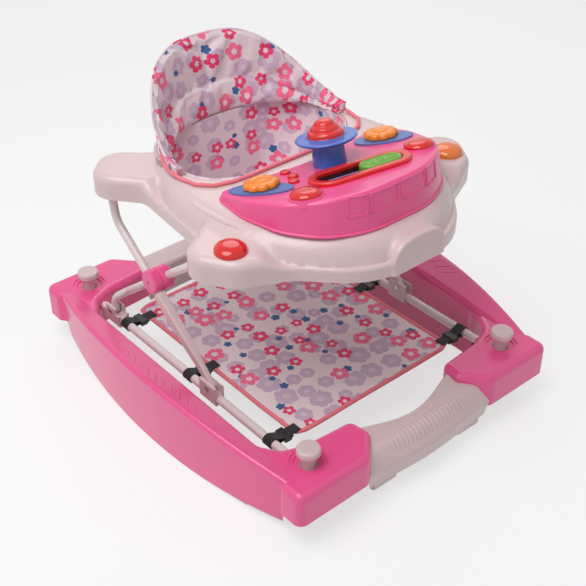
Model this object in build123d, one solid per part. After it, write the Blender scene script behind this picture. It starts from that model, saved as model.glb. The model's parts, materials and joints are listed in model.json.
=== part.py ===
from build123d import *
from math import cos, pi, radians, sin, sqrt
import os

os.makedirs("parts", exist_ok=True)

# Baby walker: millimetres, +Z up, floor at z = 0, front towards -Y, right-hand side +X.

# Clearances
seat_gap = 0.3
run_gap = 0.05
slide_gap = 0.2

# Rocker rails
rail_half_length = 344.0
rail_end_x = 286.0
rail_bow = 49.0
rail_end_z = 112.0
rail_rise = 39.0
rail_inner_end_x = 262.0
rail_inner_bow = 12.0
rail_inner_end_z = 108.0
rail_inner_rise = 17.0
rail_draft = 14.0
rail_wall = 3.5
rail_loft_end = 350.0
rail_web_pitch = 110.0
rail_web = 3.0
rail_web_floor = 24.0
rocker_radius = 2500.0
rocker_land = 35.0

# Corner arms
base_half_length = 377.0
corner_top = 113.0
corner_bottom = 51.0
corner_wall = 4.0
ear_x = 296.0
ear_length = 45.0
arm_depth = 87.0
arm_end_x = 104.0
arm_seam_run = 42.0
corner_round = 13.0

# Plungers, casters and side tubes
knob_x = 230.0
knob_y = 321.0
knob_d = 40.0
knob_top = 145.0
knob_disc = 14.0
plunger_d = 24.0
plunger_bottom = 66.0
guide_wall = 3.0
recess_depth = 4.0
recess_r = 25.0
recess_rim_r = 31.0
plunger_boss_r = 36.0
swivel_d = 8.0
swivel_length = 25.0
crown_r = 13.0
fork_gap = 0.5
fork_plate = 2.8
caster_trail = 10.0
wheel_d = 40.0
wheel_width = 13.0
wheel_z = 34.0
axle_d = 5.0
tube_d = 16.0
tube_wall = 1.2
tube_z = 91.0
socket_wall = 3.5

# Cross members
beam_end_x = 150.0
beam_bottom = 31.0
beam_top = 97.0
beam_end_rise = 6.0
beam_waist_y = 327.0
beam_end_y = 297.0
beam_front_y = 384.0
beam_front_end_y = 376.0
beam_wall = 4.0
beam_hollow_half = 66.0
spigot_inset = 9.0
spigot_lift = 12.0
pad_x = 74.0
pad_front_x = 136.0
pad_rear_x = 106.0
pad_length = 34.0
pad_drop = 13.0
side_pad_y = -196.0
side_pad_length = 98.0
side_pad_bottom = 1.0
side_pad_height = 30.0
side_pad_shelf = 5.0

# Folding legs
leg_d = 15.0
leg_wall = 1.2
outer_leg_x = 236.0
inner_leg_x = 213.0
hub_y = 80.0
hub_z = 250.0
hub_d = 44.0
hub_half = 9.0
hub_boss_d = 20.0
hub_boss_length = 5.0
hub_depth = 8.0
spigot_d = 14.0
screw_d = 9.0
foot_drop = 6.0
foot_rise = 24.0
bend_r = 38.0
foot_bend_r = 24.0
lower_reach_y = 149.0
lower_reach_z = 142.0
upper_reach_y = 109.0
upper_reach_z = 142.0
leg_slope = 38.0
pin_d = 6.0
cheek = 4.0
saddle_length = 44.0
sleeve_length = 50.0
sleeve_cheek_half = 15.0
cheek_rise = 10.0
tongue = 11.0
track_travel = 126.0
track_wall = 3.0

# Tray
tray_half_width = 232.0
tray_half_length = 275.0
tray_centre_y = -40.0
tray_bottom = 385.0
deck_z = 446.5
tray_wall = 3.2
flange_z = 425.0
flange_round = 12.0
deck_half_width = 217.0
deck_half_length = 258.0
deck_round = 9.0
front_lobe_angle = 20.5
front_lobe_tip = 312.0
front_lobe_low = 292.0
front_run_x = 92.0
front_tail_x = 176.0
front_tail_y = -224.0
rear_lobe_angle = 46.5
rear_lobe_tip = 356.0
rear_lobe_root = 260.0
lobe_half = 47.0
lobe_spread = 8.0
hole_width = 340.0
hole_length = 208.0
hole_y = 92.0
hole_corner = 84.0
collar_drop = 22.0
boss_half = 57.0
boss_top = 440.0
boss_round = 44.0
boss_depth_y = 28.0
boss_proud = 2.0
lamp_x = 238.0
lamp_y = -150.0
lamp_d = 52.0

# Console and toys, in the tilted frame of the console deck
console_y = -96.0
console_z = 472.0
console_tilt = 14.0
console_wall = 3.5
spinner_v = -13.0
dish_d = 102.0
dish_height = 36.0
post_r = 28.0
post_pin = 4.0
cap_d = 60.0
flower_u = 130.0
flower_v = 3.0
flower_d = 58.0
flower_height = 11.0
dome_u = 121.0
dome_v = -95.0
dome_d = 50.0
dome_seat = 3.0
dome_rise = 9.8
key_d = 18.0
bezel_u = -1.0
bezel_v = -86.0
bezel_turn = -14.0
bezel_length = 178.0
bezel_width = 70.0
bezel_rim = 14.0
slider_length = 74.0
leaf_thickness = 2.5

# Seat and mat
back_y = 56.0
back_base_a = 184.0
back_base_b = 150.0
back_top_a = 212.0
back_top_b = 192.0
back_top_z = 583.0
back_drop = 140.0
back_span = 196.0
back_thickness = 20.0
sling_bottom = 276.0
sling_wall = 4.0
leg_hole_d = 84.0
leg_hole_x = 66.0
leg_hole_z = 342.0
mat_half_width = 183.0
mat_front_y = -240.0
mat_rear_y = 222.0
mat_top = 88.0
mat_thickness = 6.0
strap_width = 20.0
strap_thickness = 1.6


def flip_x(shape):
    return mirror(shape, about=Plane.YZ)


def flip_y(shape):
    return mirror(shape, about=Plane.XZ)


def pair(shape):
    return [shape, flip_x(shape)]


def save(name, shape):
    solids = shape if isinstance(shape, list) else [shape]
    bodies = [body for item in solids for body in item.solids()]
    export_step(bodies[0] if len(bodies) == 1 else Compound(children=bodies), f"parts/{name}.step")


def at_x(x):
    return Plane(origin=(x, 0, 0), x_dir=(0, 1, 0), z_dir=(1, 0, 0))


def at_y(y):
    return Plane(origin=(0, y, 0), x_dir=(1, 0, 0), z_dir=(0, -1, 0))


def rod_x(radius, x0, x1, y, z):
    return Pos((x0 + x1) / 2, y, z) * Rot(0, 90, 0) * Cylinder(radius, abs(x1 - x0))


def rod_y(radius, y0, y1, x, z):
    return Pos(x, (y0 + y1) / 2, z) * Rot(90, 0, 0) * Cylinder(radius, abs(y1 - y0))


def rod_z(radius, z0, z1, x=0.0, y=0.0):
    return Pos(x, y, (z0 + z1) / 2) * Cylinder(radius, z1 - z0)


def block(x0, x1, y0, y1, z0, z1):
    return Pos((x0 + x1) / 2, (y0 + y1) / 2, (z0 + z1) / 2) * Box(x1 - x0, y1 - y0, z1 - z0)


def turned(points, x=0.0, y=0.0):
    profile = Plane.XZ * make_face(Polyline(*points, close=True))
    return Pos(x, y, 0) * revolve(profile, Axis.Z)


# Rocker rail, right-hand side
def swell(y):
    return 1 - (y / rail_half_length) ** 2


def crest_x(y):
    return rail_end_x + rail_bow * swell(y)


def rail_loft(inset, floor):
    faces = []
    for step in range(-2, 3):
        y = rail_loft_end * step / 2
        inner_x = rail_inner_end_x + rail_inner_bow * swell(y) + inset
        outer_x = crest_x(y) - inset
        ridge_z = rail_inner_end_z + rail_inner_rise * swell(y) - inset
        crest_z = rail_end_z + rail_rise * swell(y) - inset
        corners = [(inner_x, floor), (inner_x, ridge_z), (outer_x, crest_z), (outer_x - rail_draft, floor)]
        outline = FilletPolyline(*corners, radius=[0, 12 - inset, 7 - inset, 0], close=True)
        faces.append(at_y(y) * make_face(outline))
    return loft(faces)


def rocker_z(y):
    run = max(abs(y) - rocker_land, 0)
    return rocker_radius - sqrt(rocker_radius**2 - run**2)


reach = base_half_length + 30
mid = (reach + rocker_land) / 2
under = Polyline((rocker_land, 0), (-rocker_land, 0)) + ThreePointArc(
    (-rocker_land, 0), (-mid, rocker_z(mid)), (-reach, rocker_z(reach))
)
under = under + Polyline((-reach, rocker_z(reach)), (-reach, -60), (reach, -60), (reach, rocker_z(reach)))
under = under + ThreePointArc((reach, rocker_z(reach)), (mid, rocker_z(mid)), (rocker_land, 0))
ground_cut = extrude(at_x(0) * make_face(under), 2 * rail_end_x, both=True)

arm_inner_y = arm_depth - base_half_length
corner_points = [
    (rail_inner_end_x + 8, arm_inner_y + 84),
    (rail_inner_end_x, arm_inner_y + 52),
    (rail_inner_end_x - 18, arm_inner_y + 22),
    (knob_x - 25, arm_inner_y + 7),
    (arm_end_x + 6, arm_inner_y),
    (arm_end_x, arm_inner_y - 41),
    (arm_end_x + arm_seam_run, -base_half_length),
    (ear_x, -base_half_length),
    (ear_x, ear_length - base_half_length),
    (rail_end_x, ear_length - base_half_length + 10),
    (rail_end_x + 18, arm_inner_y + 84),
]
corner_radii = [16, 24, 24, 24, 16, 16, 20, 16, 14, 14, 16]
corner_plan = make_face(FilletPolyline(*corner_points, radius=corner_radii, close=True))


def corner_prism(grow, z0, z1):
    plan = offset(corner_plan, grow) if grow else corner_plan
    return extrude(Pos(0, 0, z0) * plan, z1 - z0)


corner = corner_prism(0, corner_bottom, corner_top)
corner = fillet(corner.faces().sort_by(Axis.Z)[-1].edges(), corner_round)
boss_depth = 10 + recess_depth
corner_boss = rod_z(plunger_boss_r, corner_top - boss_depth, corner_top - 1, knob_x, -knob_y)
socket_end = -knob_y + 22
socket = rod_y(tube_d / 2 + socket_wall, socket_end, arm_inner_y + 18, knob_x, tube_z)

rail = rail_loft(0, -40)
rail = rail + corner + flip_y(corner)
cavity = rail_loft(rail_wall, -50)
webs = []
for y in (-rail_web_pitch, 0, rail_web_pitch):
    webs.append(block(0, 400, y - rail_web / 2, y + rail_web / 2, rail_web_floor, 200))
pad_floor = side_pad_bottom + side_pad_height
pad_front = side_pad_y - side_pad_length / 2
pad_rear = side_pad_y + side_pad_length / 2
webs.append(block(0, 400, pad_front - 6, pad_rear + 6, pad_floor, pad_floor + side_pad_shelf))
cavity = cavity - webs
corner_void = corner_prism(-corner_wall, -50, corner_top - corner_wall)
corner_void = fillet(corner_void.faces().sort_by(Axis.Z)[-1].edges(), corner_round - corner_wall)
rail = rail - [cavity, corner_void, flip_y(corner_void), ground_cut]
rail = rail + corner_boss + flip_y(corner_boss) + socket + flip_y(socket)
recess_floor = corner_top - recess_depth
guide_d = plunger_d + 2 * guide_wall
for side in (-1, 1):
    rail = rail - rod_z(recess_rim_r, recess_floor + 2, knob_top, knob_x, side * knob_y)
    rail = rail - rod_z(recess_r, recess_floor, knob_top, knob_x, side * knob_y)
    rail = rail - rod_z(guide_d / 2 + run_gap, 0, knob_top, knob_x, side * knob_y)
tube_end = -socket_end - 3
rail = rail - rod_y(tube_d / 2 + run_gap, -tube_end - seat_gap, tube_end + seat_gap, knob_x, tube_z)


# Cross members
def beam_loft(inset, floor, waisted):
    faces = []
    for step in range(-2, 3):
        x = beam_end_x * step / 2
        share = (1 - cos(pi * x / beam_end_x)) / 2
        waist = beam_waist_y if waisted else beam_end_y + 6
        back_y_here = -(waist + (beam_end_y - waist) * share) - inset
        front_y_here = -(beam_front_y + (beam_front_end_y - beam_front_y) * share) + inset
        top_here = beam_top + beam_end_rise * share - inset
        corners = [
            (back_y_here, floor),
            (back_y_here, top_here),
            (front_y_here + 20, top_here - 6),
            (front_y_here, beam_bottom + 32),
            (front_y_here + 5, floor),
        ]
        outline = FilletPolyline(*corners, radius=[0, 9 - inset / 2, 17 - inset, 20 - inset, 0], close=True)
        faces.append(at_x(x) * make_face(outline))
    return loft(faces)


def beam(waisted):
    shape = beam_loft(0, beam_bottom, waisted)
    shape = shape - [corner_prism(seat_gap, 0, 200), flip_x(corner_prism(seat_gap, 0, 200))]
    spigot = beam_loft(spigot_inset, beam_bottom + spigot_lift, waisted)
    hollow = beam_loft(beam_wall, beam_bottom - 20, waisted)
    hollow = hollow & block(-beam_hollow_half, beam_hollow_half, -500, 0, 0, 200)
    return shape + spigot - hollow


front_beam = beam(True)
rear_beam = flip_y(beam(False))
room_inset = spigot_inset - seat_gap
room_floor = beam_bottom + spigot_lift - seat_gap
rail = rail - [beam_loft(room_inset, room_floor, True), flip_y(beam_loft(room_inset, room_floor, False))]
rail = rail - rod_z(plunger_boss_r + seat_gap, 0, corner_bottom, knob_x, -knob_y)
rail = rail - rod_z(plunger_boss_r + seat_gap, 0, corner_bottom, knob_x, knob_y)
save("rail_right", rail)
save("rail_left", flip_x(rail))
save("front_cross_member", front_beam)
save("rear_cross_member", rear_beam)

pad_y = 5 - beam_front_end_y
pad_back = pad_y + pad_length
pad_corners = [(pad_x, pad_y), (pad_front_x, pad_y), (pad_rear_x, pad_back), (pad_x, pad_back)]
pad_plan = make_face(FilletPolyline(*pad_corners, radius=[5, 5, 5, 5], close=True))
pad = extrude(Pos(0, 0, beam_bottom - pad_drop) * pad_plan, pad_drop)
pad = fillet(pad.faces().sort_by(Axis.Z)[0].edges(), 3)
save("cross_member_pads", pair(pad) + pair(flip_y(pad)))
side_pad = rail_loft(rail_wall + seat_gap, -50) & block(
    0,
    400,
    pad_front,
    pad_rear,
    side_pad_bottom,
    pad_floor - seat_gap,
)
save("side_pads", pair(side_pad))

side_tube = rod_y(tube_d / 2, -tube_end, tube_end, knob_x, tube_z)
side_tube = side_tube - rod_y(tube_d / 2 - tube_wall, -reach, reach, knob_x, tube_z)
save("side_tube_right", side_tube)
save("side_tube_left", flip_x(side_tube))

# Plungers and casters
guide_bottom = corner_top - boss_depth - 8
guide_points = [
    (plunger_d / 2 + run_gap, guide_bottom),
    (guide_d / 2 + 4, guide_bottom),
    (guide_d / 2 + 4, corner_top - boss_depth - seat_gap),
    (guide_d / 2, corner_top - boss_depth - seat_gap),
    (guide_d / 2, recess_floor),
    (guide_d / 2 - 0.5, recess_floor),
    (plunger_d / 2 + run_gap, recess_floor - 4),
]
guides = [turned(guide_points, sx * knob_x, sy * knob_y) for sx in (-1, 1) for sy in (-1, 1)]
save("plunger_guides", guides)

flare = guide_d / 2 - 1
knob_base = knob_top - knob_disc
plunger_points = [
    (0, plunger_bottom),
    (plunger_d / 2, plunger_bottom),
    (plunger_d / 2, knob_base - 4),
    (flare, knob_base),
    (knob_d / 2 - 2, knob_base),
    (knob_d / 2, knob_base + 2.5),
    (knob_d / 2, knob_top - 4),
    (knob_d / 2 - 1.2, knob_top - 1.4),
    (knob_d / 2 - 4, knob_top - 0.3),
    (knob_d / 2 - 9, knob_top),
    (0, knob_top),
]
plunger = turned(plunger_points)
plunger = plunger - rod_z(swivel_d / 2 + run_gap, plunger_bottom, plunger_bottom + swivel_length)

crown_top = plunger_bottom - seat_gap
crown_bottom = wheel_z + wheel_d / 2 + 3
fork_in = wheel_width / 2 + fork_gap
crown = rod_z(crown_r, crown_bottom, crown_top)
crown = crown + rod_z(swivel_d / 2, crown_bottom, plunger_bottom + swivel_length - 1)
cheek_top = [(-11, crown_top - 2), (crown_r, crown_top - 2)]
cheek_points = cheek_top + [(caster_trail + 8, wheel_z - 6), (caster_trail - 7, wheel_z - 6)]
cheek_face = make_face(FilletPolyline(*cheek_points, radius=[2, 2, 6, 6], close=True))
fork_cheek = extrude(at_x(fork_in) * cheek_face, fork_plate)
fork = crown + fork_cheek + flip_x(fork_cheek)
fork = fork + block(-fork_in - fork_plate, fork_in + fork_plate, -11, crown_r, crown_bottom, crown_top - 2)
fork = fork - rod_x(axle_d / 2 + run_gap, -20, 20, caster_trail, wheel_z)
axle = rod_x(axle_d / 2, -fork_in - fork_plate - 1.5, fork_in + fork_plate + 1.5, caster_trail, wheel_z)
wheel = rod_x(wheel_d / 2, -wheel_width / 2, wheel_width / 2, caster_trail, wheel_z)
wheel = fillet(wheel.edges().filter_by(GeomType.CIRCLE), 3)
wheel = wheel - rod_x(axle_d / 2 + run_gap, -20, 20, caster_trail, wheel_z)
for end, sy in (("front", -1), ("rear", 1)):
    for hand, sx in (("left", -1), ("right", 1)):
        spot = Pos(sx * knob_x, sy * knob_y, 0)
        save(f"plunger_{end}_{hand}", spot * plunger)
        save(f"caster_fork_{end}_{hand}", [spot * fork, spot * axle])
        save(f"caster_wheel_{end}_{hand}", spot * wheel)

# Folding legs: the fixed pair turns on the rear sleeves, the sliding pair rides on the front saddles
fixed_y = hub_y + lower_reach_y
slide_y = hub_y - lower_reach_y
foot_z = hub_z - lower_reach_z
front_pin_y = hub_y - upper_reach_y
rear_pin_y = hub_y + upper_reach_y
top_pin_z = hub_z + upper_reach_z
run_y = cos(radians(leg_slope))
run_z = sin(radians(leg_slope))
upper_bend = upper_reach_y - 9
lower_bend = lower_reach_y - 23


def along(y0, sense, distance_y):
    return (y0 + sense * distance_y, hub_z + distance_y * run_z / run_y)


def tube_on(points, radii, diameter, wall):
    path = FilletPolyline(*points, radius=radii)
    start = Plane(origin=path @ 0, z_dir=path % 0)
    ring = Circle(diameter / 2) - Circle(diameter / 2 - wall)
    return sweep(start * ring, path=path)


def beyond(bend, pin, length):
    dy = pin[0] - bend[0]
    dz = pin[1] - bend[1]
    span = sqrt(dy**2 + dz**2)
    return (pin[0] + dy / span * length, pin[1] + dz / span * length)


front_bend = along(hub_y, -1, upper_bend)
front_tip = beyond(front_bend, (front_pin_y, top_pin_z), 7)
rear_bend = along(hub_y, 1, upper_bend)
rear_tip = beyond(rear_bend, (rear_pin_y, top_pin_z), 7)
low_bend = (hub_y + lower_bend, hub_z - lower_bend * run_z / run_y)

fixed_leg = tube_on(
    [
        (knob_x, fixed_y, foot_z - foot_drop),
        (knob_x, fixed_y, foot_z + foot_rise),
        (inner_leg_x, low_bend[0], low_bend[1]),
        (inner_leg_x, front_bend[0], front_bend[1]),
        (inner_leg_x, front_tip[0], front_tip[1]),
    ],
    [foot_bend_r, foot_bend_r, bend_r],
    leg_d,
    leg_wall,
)
foot_round = foot_z - tube_z - tube_d / 2 - 3 * seat_gap
foot_corners = block(200, 260, fixed_y - leg_d, fixed_y + leg_d, foot_z - leg_d, foot_z)
foot_corners = foot_corners - rod_x(foot_round, 200, 260, fixed_y, foot_z)
fixed_leg = fixed_leg - foot_corners
fixed_leg = fixed_leg - rod_x(pin_d / 2 + run_gap, 200, 260, fixed_y, foot_z)
fixed_leg = fixed_leg - rod_x(pin_d / 2 + run_gap, 190, 240, front_pin_y, top_pin_z)
save("fixed_leg_right", fixed_leg)
save("fixed_leg_left", flip_x(fixed_leg))

slide_leg = tube_on(
    [
        (outer_leg_x, hub_y + hub_depth * run_y, hub_z + hub_depth * run_z),
        (outer_leg_x, rear_bend[0], rear_bend[1]),
        (outer_leg_x, rear_tip[0], rear_tip[1]),
    ],
    [bend_r],
    leg_d,
    leg_wall,
)
slide_leg = slide_leg - rod_x(pin_d / 2 + run_gap, 210, 270, rear_pin_y, top_pin_z)
save("slide_leg_right", slide_leg)
save("slide_leg_left", flip_x(slide_leg))


def hub_disc(x0, x1):
    disc = rod_x(hub_d / 2, x0, x1, hub_y, hub_z)
    return chamfer(disc.edges().filter_by(GeomType.CIRCLE), 2.5)


def leg_bore(x, sense, length, diameter):
    span = Pos(x, hub_y, hub_z) * Rot(sense * (90 - leg_slope), 0, 0)
    return span * Cylinder(diameter / 2 + run_gap, length)


outer_face = outer_leg_x + hub_half
split_x = outer_leg_x - hub_half
boss_end = split_x - hub_boss_length
hub_outer = hub_disc(split_x, outer_face) + rod_x(hub_boss_d / 2, boss_end, split_x, hub_y, hub_z)
upper_bore = Pos(0, hub_y, hub_z) * Rot(-(90 - leg_slope), 0, 0) * Pos(outer_leg_x, 0, 30 + hub_depth)
hub_outer = hub_outer - upper_bore * Cylinder(leg_d / 2 + run_gap, 60)
arm_span = sqrt(lower_reach_y**2 + lower_reach_z**2)
arm_dir = (0, -lower_reach_y / arm_span, -lower_reach_z / arm_span)
arm_start = Plane(origin=(outer_leg_x, hub_y, hub_z), x_dir=(1, 0, 0), z_dir=arm_dir)
hub_outer = hub_outer - arm_start * Pos(0, 0, hub_depth + 30) * Cylinder(spigot_d / 2 + run_gap, 60)
hub_outer = hub_outer - rod_x(screw_d / 2 + run_gap, outer_face - 4, outer_face + 5, hub_y, hub_z)
save("hub_outer_discs", pair(hub_outer))
screw = rod_x(screw_d / 2, outer_face - 3.7, outer_face - 1, hub_y, hub_z)
screw = screw - block(outer_face - 2, outer_face, hub_y - 3, hub_y + 3, hub_z - 0.7, hub_z + 0.7)
screw = screw - block(outer_face - 2, outer_face, hub_y - 0.7, hub_y + 0.7, hub_z - 3, hub_z + 3)
save("hub_screws", pair(screw))

inner_end = split_x - seat_gap
hub_inner = hub_disc(inner_leg_x - hub_half, inner_end)
hub_inner = hub_inner - leg_bore(inner_leg_x, 1, 120, leg_d)
hub_inner = hub_inner - rod_x(hub_boss_d / 2 + run_gap, boss_end - seat_gap, split_x, hub_y, hub_z)
save("hub_inner_discs", pair(hub_inner))

arm_tail = arm_span - 34
to_foot = knob_x - outer_leg_x


def arm_face(distance, width, depth, shift):
    return arm_start * Pos(shift, 0, distance) * RectangleRounded(width, depth, 3.5)


arm = loft(
    [
        arm_face(hub_d / 2 + 2, 17, 19, 0),
        arm_face(arm_tail * 0.6, 15, 21, to_foot * 0.5),
        arm_face(arm_tail, tongue, 17, to_foot),
    ]
)
arm = arm + loft([arm_face(arm_tail, tongue, 17, to_foot), arm_face(arm_span, tongue, 16, to_foot)])
arm = arm + rod_x(8, knob_x - tongue / 2, knob_x + tongue / 2, slide_y, foot_z)
arm = arm - rod_x(hub_d / 2 + seat_gap, outer_leg_x - 14, outer_leg_x + 14, hub_y, hub_z)
arm = arm + arm_start * Pos(0, 0, (hub_depth + hub_d / 2 + 6) / 2 + 0.2) * Cylinder(
    spigot_d / 2, hub_d / 2 + 6 - hub_depth
)
arm = arm - rod_x(pin_d / 2 + run_gap, 200, 260, slide_y, foot_z)
save("slide_arm_right", arm)
save("slide_arm_left", flip_x(arm))


# Saddles and sleeves on the side tubes
def tube_block(y, length, slot, top):
    half = slot / 2 + cheek
    body = block(knob_x - half, knob_x + half, y - length / 2, y + length / 2, tube_z - tube_d / 2 - 4, top)
    body = fillet(body.edges().filter_by(Axis.Y), 4)
    body = body - block(
        knob_x - slot / 2, knob_x + slot / 2, y - length, y + length, tube_z + tube_d / 2 + seat_gap, top + 20
    )
    return body


def headed_pin(half, y):
    shaft = rod_x(pin_d / 2, knob_x - half - 1, knob_x + half + 1, y, foot_z)
    right_head = rod_x(pin_d / 2 + 2, knob_x + half, knob_x + half + 2, y, foot_z)
    left_head = rod_x(pin_d / 2 + 2, knob_x - half - 2, knob_x - half, y, foot_z)
    return shaft + right_head + left_head


saddle = tube_block(slide_y, saddle_length, tongue + 2 * seat_gap, foot_z + cheek_rise)
saddle = saddle - rod_y(tube_d / 2 + slide_gap, -reach, reach, knob_x, tube_z)
saddle = saddle - rod_x(pin_d / 2 + run_gap, 200, 260, slide_y, foot_z)
save("front_saddles", pair(saddle))
saddle_half = tongue / 2 + seat_gap + cheek
save("saddle_rivets", pair(headed_pin(saddle_half, slide_y)))

sleeve_slot = leg_d + 2 * seat_gap
sleeve = tube_block(fixed_y, sleeve_length, sleeve_slot, foot_z + cheek_rise)
sleeve = sleeve - block(200, 260, 0, fixed_y - sleeve_cheek_half, foot_z - 4, 200)
sleeve = sleeve - block(200, 260, fixed_y + sleeve_cheek_half, 400, foot_z - 4, 200)
sleeve = sleeve - rod_y(tube_d / 2 + run_gap, -reach, reach, knob_x, tube_z)
sleeve = sleeve - rod_x(pin_d / 2 + run_gap, 200, 260, fixed_y, foot_z)
save("rear_sleeves", pair(sleeve))
sleeve_half = sleeve_slot / 2 + cheek
save("sleeve_pins", pair(headed_pin(sleeve_half, fixed_y)))


# Tray: a deck ring on a flange with four lobes
def lobe(angle, low_tip, tip, root, half_tip, half_root):
    out = Vector(cos(radians(angle)), sin(radians(angle)))
    side = Vector(-out.Y, out.X)
    centre = Vector(0, tray_centre_y)
    corners = [out * root - side * half_root, out * low_tip - side * half_tip]
    corners = corners + [out * tip + side * half_tip, out * root + side * half_root]
    return [(centre.X + corner.X, centre.Y + corner.Y) for corner in corners]


front_edge = tray_centre_y - tray_half_length
rear_edge = tray_centre_y + tray_half_length
root_half = lobe_half + lobe_spread
front_lobe = lobe(-front_lobe_angle, front_lobe_low, front_lobe_tip, tray_half_width, lobe_half, root_half)
rear_lobe = lobe(rear_lobe_angle, rear_lobe_tip, rear_lobe_tip, rear_lobe_root, lobe_half, root_half)
right_edge = [(front_run_x, front_edge), (front_tail_x, front_tail_y)]
right_edge = right_edge + front_lobe[1:] + rear_lobe + [(60, rear_edge)]
edge_radii = [150, 90, 46, 42, 30, 30, 42, 42, 24, 80]
left_edge = [(-x, y) for x, y in reversed(right_edge)]
plan_radii = edge_radii + edge_radii[::-1]
flange_plan = make_face(FilletPolyline(*right_edge, *left_edge, radius=plan_radii, close=True))


def tray_solid(inset):
    plan = offset(flange_plan, -inset) if inset else flange_plan
    foot = tray_bottom - inset
    flange = extrude(Pos(0, 0, foot) * plan, flange_z - tray_bottom)
    flange = fillet(flange.faces().sort_by(Axis.Z)[-1].edges(), flange_round - inset)
    oval = Pos(0, tray_centre_y, foot) * Ellipse(deck_half_width - inset, deck_half_length - inset)
    ring = extrude(oval, deck_z - tray_bottom)
    ring = fillet(ring.faces().sort_by(Axis.Z)[-1].edges(), deck_round - inset)
    return flange + ring


def hole_prism(grow, z0, z1):
    plan = RectangleRounded(hole_width + 2 * grow, hole_length + 2 * grow, hole_corner + grow)
    return extrude(Pos(0, hole_y, z0) * plan, z1 - z0)


boss_left = [(-boss_half, tray_bottom), (-boss_half, boss_top)]
boss_right = [(boss_half, boss_top), (boss_half, tray_bottom)]
boss_radii = [0, boss_round, boss_round, 0]
boss_face = make_face(FilletPolyline(*boss_left, *boss_right, radius=boss_radii, close=True))
front_boss = extrude(at_y(front_edge + boss_depth_y - boss_proud) * boss_face, boss_depth_y)
front_boss = fillet(front_boss.faces().sort_by(Axis.Y)[0].edges().sort_by(Axis.Z)[1:], 5)
tray = tray_solid(0) + front_boss
tray = tray - tray_solid(tray_wall)
lamp_seat = deck_z - 18.0
lamp_boss = rod_z(lamp_d / 2 + 3, lamp_seat - 13, lamp_seat, lamp_x, lamp_y)
tray = tray + lamp_boss + flip_x(lamp_boss)
lamp_cut = rod_z(lamp_d / 2 + seat_gap, lamp_seat - 2, lamp_seat + 40, lamp_x, lamp_y)
tray = tray - lamp_cut - flip_x(lamp_cut)
tray = tray + hole_prism(tray_wall, deck_z - collar_drop, deck_z - 1)
tray = tray - hole_prism(0, 0, deck_z + 60)
save("tray", tray)
lamp_r = lamp_d / 2
lamp_points = [
    (0, lamp_seat - 2),
    (lamp_r, lamp_seat - 2),
    (lamp_r, lamp_seat + 3),
    (lamp_r * 0.9, lamp_seat + 7),
    (lamp_r * 0.68, lamp_seat + 11),
    (lamp_r * 0.36, lamp_seat + 13.5),
    (0, lamp_seat + 14.2),
]
save("lamp_lenses", pair(turned(lamp_points, lamp_x, lamp_y)))

under_tray = tray_solid(tray_wall + seat_gap)
bracket_half = leg_d / 2 + seat_gap
bracket_out = bracket_half + track_wall
bracket = block(-bracket_out, bracket_out, -14, 14, top_pin_z - 9, deck_z)
bracket = bracket - block(-bracket_half, bracket_half, -40, 40, 0, top_pin_z + 11)
bracket = Pos(outer_leg_x, rear_pin_y, 0) * bracket
bracket = bracket & under_tray
bracket = bracket - rod_x(pin_d / 2 + run_gap, 200, 280, rear_pin_y, top_pin_z)
save("tray_hinge_brackets", pair(bracket))
hinge_pin = rod_x(pin_d / 2, outer_leg_x - bracket_out, outer_leg_x + bracket_out, rear_pin_y, top_pin_z)
save("tray_hinge_pins", pair(hinge_pin))

track_half = leg_d / 2 + 1
track_out = track_half + track_wall
slot_r = pin_d / 2 + 1.2
track = block(
    inner_leg_x - track_out,
    inner_leg_x + track_out,
    front_pin_y - track_travel - 16,
    front_pin_y + 14,
    top_pin_z - 9,
    deck_z,
)
track = track - block(
    inner_leg_x - track_half, inner_leg_x + track_half, front_pin_y - 300, front_pin_y + 40, 0, top_pin_z + 12
)
track = track & under_tray
lamp_room = rod_z(lamp_d / 2 + 3 + seat_gap, lamp_seat - 13 - seat_gap, deck_z, lamp_x, lamp_y)
track = track - lamp_room
slot = block(180, 240, front_pin_y - track_travel, front_pin_y, top_pin_z - slot_r, top_pin_z + slot_r)
slot = slot + rod_x(slot_r, 180, 240, front_pin_y, top_pin_z)
slot = slot + rod_x(slot_r, 180, 240, front_pin_y - track_travel, top_pin_z)
track = track - slot
save("tray_slide_tracks", pair(track))
track_pin = rod_x(pin_d / 2, inner_leg_x - track_out, inner_leg_x + track_out, front_pin_y, top_pin_z)
save("track_pins", pair(track_pin))

# Console with a tilted deck
tilt = radians(console_tilt)
deck = Plane(origin=(0, console_y, console_z), x_dir=(1, 0, 0), z_dir=(0, sin(tilt), cos(tilt)))
console_half = [(62, -272), (130, -240), (170, -185), (186, -112), (178, -38)]
half_radii = [150, 110, 90, 110, 16]
console_points = console_half + [(0, -66)] + [(-x, y) for x, y in reversed(console_half)]
console_radii = half_radii + [300] + half_radii[::-1]
console_plan = make_face(FilletPolyline(*console_points, radius=console_radii, close=True))


def console_solid(inset):
    plan = offset(console_plan, -inset) if inset else console_plan
    tall = extrude(Pos(0, 0, deck_z - (1 if inset else 0)) * plan, 90, taper=9)
    lid = Plane(origin=deck.origin - deck.z_dir * inset, x_dir=deck.x_dir, z_dir=deck.z_dir)
    return split(tall, bisect_by=lid, keep=Keep.BOTTOM)


console = console_solid(0)
console_rim = console.faces().sort_by(Axis((0, 0, 0), deck.z_dir))[-1].edges()
console = fillet(console_rim, 6)
console = console - console_solid(console_wall)


def on_deck(u, v, shape):
    return deck * Pos(u, v, 0) * shape


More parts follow.
